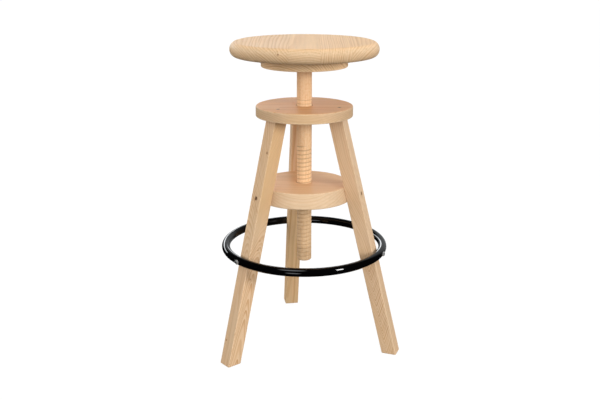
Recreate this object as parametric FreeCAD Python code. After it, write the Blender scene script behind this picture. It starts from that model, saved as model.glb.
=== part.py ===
import FreeCAD, Part
import math
import os

# Height-adjustable bar stool in solid pine: a round seat on a wooden screw
# spindle, a nut disc and a guide disc held by three splayed square legs, and
# a round steel footrest tied to the legs.
# Millimetres, +Z up, floor at z = 0, spindle axis on the Z axis.

V = FreeCAD.Vector

# ---------------------------------------------------------------- dimensions
# legs
LEG_SIDE = 35.0            # square section
LEG_ARRIS = 1.6            # eased long edges
LEG_FOOT_R = 230.4         # leg centreline from the axis, at the floor
LEG_SPLAY_TAN = 0.25363    # how far the leg comes in per mm of height
LEG_AZIMUTHS = (("leg_back", 90.0), ("leg_left", 210.0), ("leg_right", 330.0))

# guide disc on top of the legs
TOP_DISC_R = 116.0
TOP_DISC_Z0 = 581.0
TOP_DISC_T = 24.0
TOP_DISC_EDGE = 3.0
GUIDE_BORE_R = 20.2

# nut disc between the legs
NUT_TOP_R = 107.8          # the rim widens downwards at the slope of the legs
NUT_DISC_Z0 = 379.0
NUT_DISC_T = 36.5
NUT_DISC_EDGE = 2.5
NUT_BORE_CHAMFER = 1.8     # lead-in at both ends of the threaded bore

# spindle and its thread
SPINDLE_R = 18.0
SPINDLE_Z0 = 215.5
SPINDLE_CHAMFER = 2.0
TENON_R = 15.0
TENON_LENGTH = 17.0
THREAD_PITCH = 10.0
THREAD_TOP = 509.0         # the groove runs out here, the spindle is plain above
THREAD_DEPTH = 1.5
GROOVE_TOP_W = 2.8         # groove width at the crest radius
GROOVE_ROOT_W = 1.0        # groove width at its floor
THREAD_PLAY = 0.35         # gap between the nut thread and the spindle thread

# plate under the seat
PLATE_R = 102.5
PLATE_Z0 = 697.5
PLATE_T = 25.0
PLATE_EDGE = 2.0

# seat, edge-glued from five staves
SEAT_R = 175.0
SEAT_T = 33.5
SEAT_TOP_ROUND = (16.0, 17.0)      # rounding of the upper edge, across and down
SEAT_BOTTOM_ROUND = (13.0, 16.5)   # rounding of the lower edge, across and up
STAVE_JOINTS = (-105.0, -35.0, 35.0, 105.0)
SEAT_TURN = -9.4                   # how the staves are turned against the legs

# footrest ring
RING_R = 194.8
RING_TUBE_R = 10.0
RING_WALL = 1.5
RING_Z = 255.0

# wood screws
SCREW_R = 2.5
SCREW_HEAD_R = 4.5
PILOT_GAP = 0.05           # shank to pilot hole
HOLE_GAP = 0.3             # shank to clearance hole
LEG_SCREW_Z = 401.0        # where the nut-disc screw enters the leg's outer face
LEG_SCREW_LENGTH = 68.0
LEG_SCREW_SUNK = 1.2
# guide-disc screws: out from the axis, and sideways
TOP_SCREW_AT = {"leg_back": (83.0, 0.0), "leg_left": (80.7, 1.9), "leg_right": (87.3, 1.6)}
TOP_SCREW_LENGTH = 60.0
TOP_SCREW_SUNK = 0.6
PLATE_SCREW_R = 75.0       # from the axis
PLATE_SCREW_COUNT = 4
PLATE_SCREW_LENGTH = 42.0
PLATE_SCREW_SUNK = 0.4
RING_SCREW_R = 2.4
RING_SCREW_LENGTH = 45.0
RING_HEAD_R = 5.8
RING_HEAD_H = 3.4
AXIS_SCREW_R = 3.0
AXIS_SCREW_HEAD_R = 5.8
AXIS_SCREW_LENGTH = 58.0
AXIS_SCREW_GAP = 0.4

# ------------------------------------------------------------ derived values
SPLAY = math.atan(LEG_SPLAY_TAN)
TOP_DISC_Z1 = TOP_DISC_Z0 + TOP_DISC_T
NUT_DISC_Z1 = NUT_DISC_Z0 + NUT_DISC_T
NUT_BOTTOM_R = NUT_TOP_R + NUT_DISC_T * LEG_SPLAY_TAN
PLATE_Z1 = PLATE_Z0 + PLATE_T
SEAT_Z0 = PLATE_Z1
SEAT_Z1 = SEAT_Z0 + SEAT_T


# ------------------------------------------------------------------- helpers
def cylinder(r, base, direction, length):
    return Part.makeCylinder(r, length, base, direction)


def turned(shape, degrees):
    """A copy of a shape turned about the stool's axis."""
    s = shape.copy()
    s.rotate(V(0, 0, 0), V(0, 0, 1), degrees)
    return s


def revolve(points):
    """A solid of revolution about Z from a closed outline of (r, z) points."""
    pts = [V(r, 0, z) for r, z in points]
    wire = Part.makePolygon(pts + [pts[0]])
    return Part.Face(wire).revolve(V(0, 0, 0), V(0, 0, 1), 360)


def aim(shape, base, direction):
    """Put a shape modelled along +Z from the origin at base, along direction."""
    s = shape.copy()
    s.Placement = FreeCAD.Placement(base, FreeCAD.Rotation(V(0, 0, 1), direction))
    return s


def one_solid(shape):
    s = shape.removeSplitter()
    return s.Solids[0] if len(s.Solids) == 1 else s


def cross_recess(width, span, depth):
    """Cutter for a cross-shaped driver recess, entering a head at z = 0 upward."""
    a = Part.makeBox(span, width, depth + 1.0, V(-span / 2, -width / 2, -1.0))
    b = Part.makeBox(width, span, depth + 1.0, V(-width / 2, -span / 2, -1.0))
    return a.fuse(b)


def countersunk_screw(r, head_r, length):
    """Head face at z = 0, shank and point along +Z."""
    rim = 0.5
    cone = head_r - r
    body = revolve([(0, 0), (head_r, 0), (head_r, rim), (r, rim + cone),
                    (r, length - 2 * r), (0.3, length), (0, length)])
    return body.cut(cross_recess(1.1, 1.15 * head_r, 0.9 * r))


def countersunk_cutter(r, head_r, length, gap, sunk, near_gap=None, near=0.0):
    """Room for a countersunk screw whose head face is at z = 0: the shank hole,
    the cone and the sunk mouth above it. The hole is wider by near_gap over
    its first part."""
    rim = 0.5
    k = gap * math.tan(math.radians(22.5))
    cone = head_r - r
    hole = revolve([(0, -sunk - 2.0), (head_r + gap, -sunk - 2.0),
                    (head_r + gap, rim + k), (r + gap, rim + cone + k),
                    (r + gap, length + 0.4), (0, length + 0.4)])
    if near_gap is not None:
        hole = hole.fuse(cylinder(r + near_gap, V(0, 0, rim), V(0, 0, 1), near - rim))
    return hole


def pan_screw(r, head_r, head_h, length):
    """Underside of the domed head at z = 0, shank along +Z."""
    dome = [(head_r * math.cos(a), -0.35 * head_h - 0.65 * head_h * math.sin(a))
            for a in (0.0, 0.3, 0.6, 0.9, 1.2, 1.4)]
    body = revolve([(0, -head_h)] + dome[::-1] + [(head_r, 0), (r, 0),
                   (r, length - 2 * r), (0.3, length), (0, length)])
    recess = cross_recess(1.2, 1.1 * head_r, 1.9)
    recess.translate(V(0, 0, -head_h))
    return body.cut(recess)


def helix_ridge(half_widths, z0, z1, core_r):
    """A helical bar of trapezoid section. half_widths is ((r, half width), ...)
    from the inner edge to the outer one. The helix passes azimuth 0 at z = 0
    modulo the pitch, whatever the span asked for."""
    start = math.floor(z0 / THREAD_PITCH - 1) * THREAD_PITCH
    height = z1 - start + THREAD_PITCH
    spine = Part.makeLongHelix(THREAD_PITCH, height, core_r, 0)
    (ri, wi), (ro, wo) = half_widths
    pts = [V(ri, 0, -wi), V(ro, 0, -wo), V(ro, 0, wo), V(ri, 0, wi)]
    outline = Part.makePolygon(pts + [pts[0]])
    bar = Part.Wire(spine.Edges).makePipeShell([outline], True, True)
    bar.translate(V(0, 0, start))
    return bar


def groove_half_width(r):
    """Half width of the spindle's groove at a radius."""
    k = (GROOVE_TOP_W - GROOVE_ROOT_W) / 2 / THREAD_DEPTH
    return GROOVE_ROOT_W / 2 + k * (r - (SPINDLE_R - THREAD_DEPTH))


# ---------------------------------------------------------------------- legs
def leg_frame(x, s):
    """World point (at azimuth 0) of a point x across and s along the leg."""
    return V(LEG_FOOT_R + x * math.cos(SPLAY) - s * math.sin(SPLAY), 0,
             x * math.sin(SPLAY) + s * math.cos(SPLAY))


OUT = V(math.cos(SPLAY), 0, math.sin(SPLAY))    # outward normal of the leg's outer face
INWARD = V(-OUT.x, 0, -OUT.z)

leg_screw_s = (LEG_SCREW_Z - LEG_SIDE / 2 * math.sin(SPLAY)) / math.cos(SPLAY)
leg_screw_face = leg_frame(LEG_SIDE / 2, leg_screw_s)
leg_screw_base = leg_screw_face + INWARD * LEG_SCREW_SUNK


def raw_leg(side, arris):
    bar = Part.makeBox(side, side, 760, V(-side / 2, -side / 2, -80))
    if arris:
        long_edges = [e for e in bar.Edges
                      if abs(e.Vertexes[0].Z - e.Vertexes[1].Z) > 100]
        bar = bar.makeFillet(arris, long_edges)
    bar.Placement = FreeCAD.Placement(
        V(LEG_FOOT_R, 0, 0), FreeCAD.Rotation(V(0, 1, 0), -math.degrees(SPLAY)))
    slab = Part.makeBox(900, 400, TOP_DISC_Z0, V(-300, -200, 0))
    return bar.common(slab)


ring_screw_base = V(RING_R + RING_TUBE_R, 0, RING_Z)
top_screw_bases = {name: V(out, aside, TOP_DISC_Z1 - TOP_SCREW_SUNK)
                   for name, (out, aside) in TOP_SCREW_AT.items()}
DOWN = V(0, 0, -1)
UP = V(0, 0, 1)

leg_screw = aim(countersunk_screw(SCREW_R, SCREW_HEAD_R, LEG_SCREW_LENGTH),
                leg_screw_base, INWARD)
top_screws = [turned(aim(countersunk_screw(SCREW_R, SCREW_HEAD_R, TOP_SCREW_LENGTH),
                         top_screw_bases[name], DOWN), azimuth)
              for name, azimuth in LEG_AZIMUTHS]
ring_screw = aim(pan_screw(RING_SCREW_R, RING_HEAD_R, RING_HEAD_H, RING_SCREW_LENGTH),
                 ring_screw_base, V(-1, 0, 0))

leg = raw_leg(LEG_SIDE, LEG_ARRIS)
leg = leg.cut(aim(countersunk_cutter(SCREW_R, SCREW_HEAD_R, LEG_SCREW_LENGTH,
                                     HOLE_GAP, LEG_SCREW_SUNK),
                  leg_screw_base, INWARD))
leg = leg.cut(cylinder(RING_SCREW_R + PILOT_GAP, ring_screw_base, V(-1, 0, 0),
                       RING_SCREW_LENGTH + 0.4))
legs = {name: turned(one_solid(leg.cut(cylinder(SCREW_R + PILOT_GAP, top_screw_bases[name], DOWN,
                                                TOP_SCREW_LENGTH + 0.4))), azimuth)
        for name, azimuth in LEG_AZIMUTHS}

# ---------------------------------------------------------------- guide disc
top_disc = Part.makeCylinder(TOP_DISC_R, TOP_DISC_T, V(0, 0, TOP_DISC_Z0))
top_disc = top_disc.makeFillet(
    TOP_DISC_EDGE, [e for e in top_disc.Edges
                    if isinstance(e.Curve, Part.Circle) and e.Vertexes[0].Z > TOP_DISC_Z0 + 1])
rim = [e for e in top_disc.Edges
       if isinstance(e.Curve, Part.Circle) and abs(e.BoundBox.ZMax - TOP_DISC_Z0) < 0.01]
top_disc = top_disc.makeFillet(1.5, rim)
top_disc = top_disc.cut(Part.makeCylinder(GUIDE_BORE_R, TOP_DISC_T + 2, V(0, 0, TOP_DISC_Z0 - 1)))
for name, azimuth in LEG_AZIMUTHS:
    top_disc = top_disc.cut(turned(aim(
        countersunk_cutter(SCREW_R, SCREW_HEAD_R, TOP_SCREW_LENGTH, HOLE_GAP, TOP_SCREW_SUNK),
        top_screw_bases[name], DOWN), azimuth))
top_disc = one_solid(top_disc)

# ------------------------------------------------------------------ nut disc
nut_disc = Part.makeCone(NUT_BOTTOM_R, NUT_TOP_R, NUT_DISC_T, V(0, 0, NUT_DISC_Z0))
nut_disc = nut_disc.makeFillet(NUT_DISC_EDGE, [e for e in nut_disc.Edges
                                               if isinstance(e.Curve, Part.Circle)])
nut_disc = nut_disc.cut(Part.makeCylinder(SPINDLE_R + THREAD_PLAY, NUT_DISC_T + 2,
                                          V(0, 0, NUT_DISC_Z0 - 1)))
# a narrow flat on the sloping rim for each leg's inner face to bear on
flat = Part.makeBox(60, 200, 400, V(0, -100, -200))
flat.Placement = FreeCAD.Placement(
    leg_frame(-LEG_SIDE / 2, leg_screw_s),
    FreeCAD.Rotation(V(0, 1, 0), -math.degrees(SPLAY))).multiply(flat.Placement)
pilot = cylinder(SCREW_R + PILOT_GAP, leg_screw_base, INWARD, LEG_SCREW_LENGTH + 0.4)
for _, azimuth in LEG_AZIMUTHS:
    nut_disc = nut_disc.cut(turned(flat, azimuth))
    nut_disc = nut_disc.cut(turned(pilot, azimuth))
# the female thread: a helical ridge that stands in the spindle's groove
k = (GROOVE_TOP_W - GROOVE_ROOT_W) / 2 / THREAD_DEPTH
side_play = THREAD_PLAY * math.sqrt(1 + k * k)
tip_r = SPINDLE_R - THREAD_DEPTH + THREAD_PLAY
foot_r = SPINDLE_R + THREAD_PLAY + 1.2
ridge = helix_ridge(((tip_r, groove_half_width(tip_r) - side_play),
                     (foot_r, groove_half_width(foot_r) - side_play)),
                    NUT_DISC_Z0, NUT_DISC_Z1, SPINDLE_R)
ridge = ridge.common(Part.makeCylinder(SPINDLE_R + 6, NUT_DISC_T, V(0, 0, NUT_DISC_Z0)))
nut_disc = nut_disc.fuse(ridge)
# the lead-in at each end takes the ridge off too, where it would start as a knife edge
lead_r = SPINDLE_R + THREAD_PLAY + NUT_BORE_CHAMFER + 0.5
lead_in = Part.makeCone(lead_r, tip_r - 0.5, lead_r - tip_r + 0.5,
                        V(0, 0, NUT_DISC_Z1 + 0.5), V(0, 0, -1))
nut_disc = nut_disc.cut(lead_in)
lead_in = Part.makeCone(lead_r, tip_r - 0.5, lead_r - tip_r + 0.5,
                        V(0, 0, NUT_DISC_Z0 - 0.5), V(0, 0, 1))
nut_disc = one_solid(nut_disc.cut(lead_in))

# ------------------------------------------------------------------- spindle
spindle = revolve([(0, SPINDLE_Z0), (SPINDLE_R - SPINDLE_CHAMFER, SPINDLE_Z0),
                   (SPINDLE_R, SPINDLE_Z0 + SPINDLE_CHAMFER), (SPINDLE_R, PLATE_Z0),
                   (TENON_R, PLATE_Z0), (TENON_R, PLATE_Z0 + TENON_LENGTH - 0.3),
                   (0, PLATE_Z0 + TENON_LENGTH - 0.3)])
root_r = SPINDLE_R - THREAD_DEPTH
crest_r = SPINDLE_R + 1.2
groove = helix_ridge(((root_r, groove_half_width(root_r)),
                      (crest_r, groove_half_width(crest_r))),
                     SPINDLE_Z0 - 5, THREAD_TOP - THREAD_PITCH, SPINDLE_R)
axis_screw_base = V(0, 0, PLATE_Z1 - AXIS_SCREW_GAP)
axis_screw = aim(countersunk_screw(AXIS_SCREW_R, AXIS_SCREW_HEAD_R, AXIS_SCREW_LENGTH),
                 axis_screw_base, DOWN)
axis_room = aim(countersunk_cutter(AXIS_SCREW_R, AXIS_SCREW_HEAD_R, AXIS_SCREW_LENGTH,
                                   AXIS_SCREW_GAP, AXIS_SCREW_GAP),
                axis_screw_base, DOWN)
spindle = one_solid(spindle.cut(groove).cut(axis_room))

# ------------------------------------------------------------ under-seat plate
plate = Part.makeCylinder(PLATE_R, PLATE_T, V(0, 0, PLATE_Z0))
plate = plate.makeFillet(PLATE_EDGE, [e for e in plate.Edges
                                      if isinstance(e.Curve, Part.Circle)
                                      and abs(e.BoundBox.ZMax - PLATE_Z0) < 0.01])
plate = plate.cut(Part.makeCylinder(TENON_R + PILOT_GAP, TENON_LENGTH + 1, V(0, 0, PLATE_Z0 - 1)))
plate = plate.cut(axis_room)
plate_screw_base = V(PLATE_SCREW_R, 0, PLATE_Z0 + PLATE_SCREW_SUNK)
plate_screw = aim(countersunk_screw(SCREW_R, SCREW_HEAD_R, PLATE_SCREW_LENGTH),
                  plate_screw_base, UP)
plate_room = aim(countersunk_cutter(SCREW_R, SCREW_HEAD_R, PLATE_SCREW_LENGTH,
                                    PILOT_GAP, PLATE_SCREW_SUNK), plate_screw_base, UP)
plate_angles = [SEAT_TURN + 45.0 + 360.0 / PLATE_SCREW_COUNT * i
                for i in range(PLATE_SCREW_COUNT)]
for a in plate_angles:
    plate = plate.cut(turned(plate_room, a))
plate = one_solid(plate)

# ---------------------------------------------------------------------- seat
def quarter(cx, cz, a, b, t0, t1):
    """Part of an upright ellipse about (cx, cz), from angle t0 to t1."""
    n = 9
    pts = [V(cx + a * math.cos(t0 + (t1 - t0) * i / (n - 1)), 0,
             cz + b * math.sin(t0 + (t1 - t0) * i / (n - 1))) for i in range(n)]
    c = Part.BSplineCurve()
    c.interpolate(Points=pts,
                  InitialTangent=V(-a * math.sin(t0), 0, b * math.cos(t0)),
                  FinalTangent=V(-a * math.sin(t1), 0, b * math.cos(t1)))
    return c.toShape(), pts[0], pts[-1]


(ta, tb), (ba, bb) = SEAT_TOP_ROUND, SEAT_BOTTOM_ROUND
lower, p0, p1 = quarter(SEAT_R - ba, SEAT_Z0 + bb, ba, bb, -math.pi / 2, 0.0)
upper, p2, p3 = quarter(SEAT_R - ta, SEAT_Z1 - tb, ta, tb, 0.0, math.pi / 2)
edges = [Part.makeLine(V(0, 0, SEAT_Z0), p0), lower]
if (p2 - p1).Length > 1e-6:
    edges.append(Part.makeLine(p1, p2))
edges += [upper, Part.makeLine(p3, V(0, 0, SEAT_Z1)),
          Part.makeLine(V(0, 0, SEAT_Z1), V(0, 0, SEAT_Z0))]
seat = Part.Face(Part.Wire(edges)).revolve(V(0, 0, 0), V(0, 0, 1), 360)
for a in plate_angles:
    seat = seat.cut(turned(plate_room, a))
bounds = (-SEAT_R - 10,) + STAVE_JOINTS + (SEAT_R + 10,)
staves = []
for x0, x1 in zip(bounds[:-1], bounds[1:]):
    board = Part.makeBox(x1 - x0, 500, 100, V(x0, -250, SEAT_Z0 - 20))
    staves.append(one_solid(seat.common(turned(board, SEAT_TURN))))

# ------------------------------------------------------------- footrest ring
ring = Part.makeTorus(RING_R, RING_TUBE_R, V(0, 0, RING_Z))
ring = ring.cut(Part.makeTorus(RING_R, RING_TUBE_R - RING_WALL, V(0, 0, RING_Z)))
through = cylinder(RING_SCREW_R + HOLE_GAP, V(RING_R - 30, 0, RING_Z), V(1, 0, 0), 60)
for _, azimuth in LEG_AZIMUTHS:
    ring = ring.cut(turned(through, azimuth))
ring = one_solid(ring)

# -------------------------------------------------------------------- export
azimuths = [a for _, a in LEG_AZIMUTHS]
nodes = dict(legs)
nodes["guide_disc"] = top_disc
nodes["nut_disc"] = nut_disc
nodes["spindle"] = spindle
nodes["seat_plate"] = plate
for i, stave in enumerate(staves):
    nodes["seat_stave_%d" % (i + 1)] = stave
nodes["footrest_ring"] = ring
nodes["leg_screws"] = Part.Compound([turned(leg_screw, a) for a in azimuths])
nodes["guide_disc_screws"] = Part.Compound(top_screws)
nodes["ring_screws"] = Part.Compound([turned(ring_screw, a) for a in azimuths])
nodes["plate_screws"] = Part.Compound([turned(plate_screw, a) for a in plate_angles])
nodes["spindle_screw"] = axis_screw

os.makedirs("parts", exist_ok=True)
for name, shape in sorted(nodes.items()):
    shape.exportStep("parts/%s.step" % name)
    box = shape.BoundBox
    print("%-18s solids %d valid %s volume %.0f  x %.2f..%.2f y %.2f..%.2f z %.2f..%.2f" % (
        name, len(shape.Solids), shape.isValid(), shape.Volume,
        box.XMin, box.XMax, box.YMin, box.YMax, box.ZMin, box.ZMax))
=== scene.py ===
import math

import bpy
import numpy as np
from mathutils import Matrix, Vector


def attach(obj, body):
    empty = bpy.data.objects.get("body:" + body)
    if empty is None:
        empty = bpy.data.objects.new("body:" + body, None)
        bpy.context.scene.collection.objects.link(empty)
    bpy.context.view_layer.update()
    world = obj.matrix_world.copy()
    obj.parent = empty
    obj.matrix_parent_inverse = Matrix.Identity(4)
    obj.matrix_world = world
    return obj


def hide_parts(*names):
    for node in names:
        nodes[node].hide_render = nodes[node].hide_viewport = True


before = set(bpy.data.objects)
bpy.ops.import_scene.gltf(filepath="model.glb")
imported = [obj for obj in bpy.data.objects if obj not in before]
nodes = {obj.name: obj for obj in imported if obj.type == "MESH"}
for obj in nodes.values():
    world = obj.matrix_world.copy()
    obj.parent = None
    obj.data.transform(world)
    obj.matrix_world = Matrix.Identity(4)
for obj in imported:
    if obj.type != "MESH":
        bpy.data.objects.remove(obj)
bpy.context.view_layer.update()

scene = bpy.context.scene

# ------------------------------------------------------------------ dimensions
# millimetres, as in the construction model
LEG_SIDE = 35.0
LEG_ARRIS = 1.6
LEG_FOOT_R = 230.4
SPLAY = math.atan(0.25363)
LEG_TOP = 581.0
LEG_AZIMUTHS = {"leg_back": 90.0, "leg_left": 210.0, "leg_right": 330.0}
LEG_SCREW_S = (401.0 - LEG_SIDE / 2 * math.sin(SPLAY)) / math.cos(SPLAY)

SPINDLE_R = 18.0
SPINDLE_Z0 = 215.5
SPINDLE_Z1 = 697.5
SPINDLE_TOP = 714.2
TENON_R = 15.0
PITCH = 10.0
GROOVE_DEPTH = 1.35
THREAD_TOP = 509.0
RING_OUT = 204.8

SEAT_TURN = math.radians(-9.4)
VIEW_TURN = math.radians(-9.08)


def unit(v):
    v = Vector(v)
    return v / v.length


def rot_z(v, a):
    return Matrix.Rotation(a, 3, "Z") @ Vector(v)


# ------------------------------------------------------------------ node graphs
class Graph:
    """A material under construction, with short names for the nodes it uses."""

    def __init__(self, name):
        self.mat = bpy.data.materials.new(name)
        self.mat.use_nodes = True
        self.nt = self.mat.node_tree
        self.nt.nodes.clear()
        self.out = self.nt.nodes.new("ShaderNodeOutputMaterial")
        self.bsdf = self.nt.nodes.new("ShaderNodeBsdfPrincipled")
        self.nt.links.new(self.bsdf.outputs["BSDF"], self.out.inputs["Surface"])
        self.tex = self.nt.nodes.new("ShaderNodeTexCoord")

    def put(self, socket, value):
        if isinstance(value, bpy.types.NodeSocket):
            self.nt.links.new(value, socket)
        else:
            socket.default_value = value

    def math(self, op, a, b=None, c=None, clamp=False):
        n = self.nt.nodes.new("ShaderNodeMath")
        n.operation = op
        n.use_clamp = clamp
        for i, v in enumerate((a, b, c)):
            if v is not None:
                self.put(n.inputs[i], v)
        return n.outputs[0]

    def add(self, a, b):
        return self.math("ADD", a, b)

    def sub(self, a, b):
        return self.math("SUBTRACT", a, b)

    def mul(self, a, b):
        return self.math("MULTIPLY", a, b)

    def vec(self, op, a, b=None):
        n = self.nt.nodes.new("ShaderNodeVectorMath")
        n.operation = op
        self.put(n.inputs[0], a)
        if b is not None:
            self.put(n.inputs[1], b)
        return n.outputs["Value"] if op in ("DOT_PRODUCT", "LENGTH", "DISTANCE") else n.outputs[0]

    def scaled(self, v, k):
        n = self.nt.nodes.new("ShaderNodeVectorMath")
        n.operation = "SCALE"
        self.put(n.inputs[0], v)
        self.put(n.inputs["Scale"], k)
        return n.outputs[0]

    def split(self, v):
        n = self.nt.nodes.new("ShaderNodeSeparateXYZ")
        self.put(n.inputs[0], v)
        return n.outputs[0], n.outputs[1], n.outputs[2]

    def join(self, x, y, z):
        n = self.nt.nodes.new("ShaderNodeCombineXYZ")
        for s, v in zip(n.inputs, (x, y, z)):
            self.put(s, v)
        return n.outputs[0]

    def step(self, v, a, b, lo=0.0, hi=1.0):
        """Smooth step of v from a to b, mapped to lo..hi."""
        n = self.nt.nodes.new("ShaderNodeMapRange")
        n.interpolation_type = "SMOOTHSTEP"
        for s, x in zip(("Value", "From Min", "From Max", "To Min", "To Max"), (v, a, b, lo, hi)):
            self.put(n.inputs[s], x)
        return n.outputs[0]

    def span(self, v, a, b, lo, hi):
        n = self.nt.nodes.new("ShaderNodeMapRange")
        n.interpolation_type = "LINEAR"
        n.clamp = True
        for s, x in zip(("Value", "From Min", "From Max", "To Min", "To Max"), (v, a, b, lo, hi)):
            self.put(n.inputs[s], x)
        return n.outputs[0]

    def noise(self, v, detail=2.0, rough=0.5, scale=1.0, distortion=0.0):
        n = self.nt.nodes.new("ShaderNodeTexNoise")
        n.noise_dimensions = "3D"
        self.put(n.inputs["Vector"], v)
        n.inputs["Scale"].default_value = scale
        n.inputs["Detail"].default_value = detail
        n.inputs["Roughness"].default_value = rough
        n.inputs["Distortion"].default_value = distortion
        return n.outputs["Fac"]

    def noise1(self, w, detail=1.0, scale=1.0):
        n = self.nt.nodes.new("ShaderNodeTexNoise")
        n.noise_dimensions = "1D"
        self.put(n.inputs["W"], w)
        n.inputs["Scale"].default_value = scale
        n.inputs["Detail"].default_value = detail
        return n.outputs["Fac"]

    def dice(self, w):
        n = self.nt.nodes.new("ShaderNodeTexWhiteNoise")
        n.noise_dimensions = "1D"
        self.put(n.inputs["W"], w)
        return n.outputs["Value"]

    def cells(self, v, scale=1.0, feature="F1"):
        n = self.nt.nodes.new("ShaderNodeTexVoronoi")
        n.feature = feature
        self.put(n.inputs["Vector"], v)
        n.inputs["Scale"].default_value = scale
        return n.outputs["Distance"]

    def mix(self, fac, a, b, mode="MIX"):
        n = self.nt.nodes.new("ShaderNodeMix")
        n.data_type = "RGBA"
        n.blend_type = mode
        self.put(n.inputs[0], fac)
        self.put(n.inputs[6], a)
        self.put(n.inputs[7], b)
        return n.outputs[2]

    def local(self, origin_m, ex, ey, ez):
        """Object coordinates in millimetres in a local frame."""
        n = self.nt.nodes.new("ShaderNodeMapping")
        n.vector_type = "TEXTURE"
        m = Matrix((ex, ey, ez)).transposed()
        n.inputs["Location"].default_value = tuple(origin_m)
        n.inputs["Rotation"].default_value = tuple(m.to_euler("XYZ"))
        n.inputs["Scale"].default_value = (0.001, 0.001, 0.001)
        self.nt.links.new(self.tex.outputs["Object"], n.inputs["Vector"])
        return n.outputs[0]

    def bump(self, height, strength, distance, normal=None):
        n = self.nt.nodes.new("ShaderNodeBump")
        n.inputs["Strength"].default_value = strength
        n.inputs["Distance"].default_value = distance
        self.put(n.inputs["Height"], height)
        if normal is not None:
            self.put(n.inputs["Normal"], normal)
        return n.outputs[0]

    def set(self, name, value):
        self.put(self.bsdf.inputs[name], value)


def rgb(r, g, b):
    """Linear colour of an sRGB triple, 0-255."""
    out = []
    for v in (r, g, b):
        v /= 255.0
        out.append(v / 12.92 if v <= 0.04045 else ((v + 0.055) / 1.055) ** 2.4)
    return (out[0], out[1], out[2], 1.0)


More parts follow.
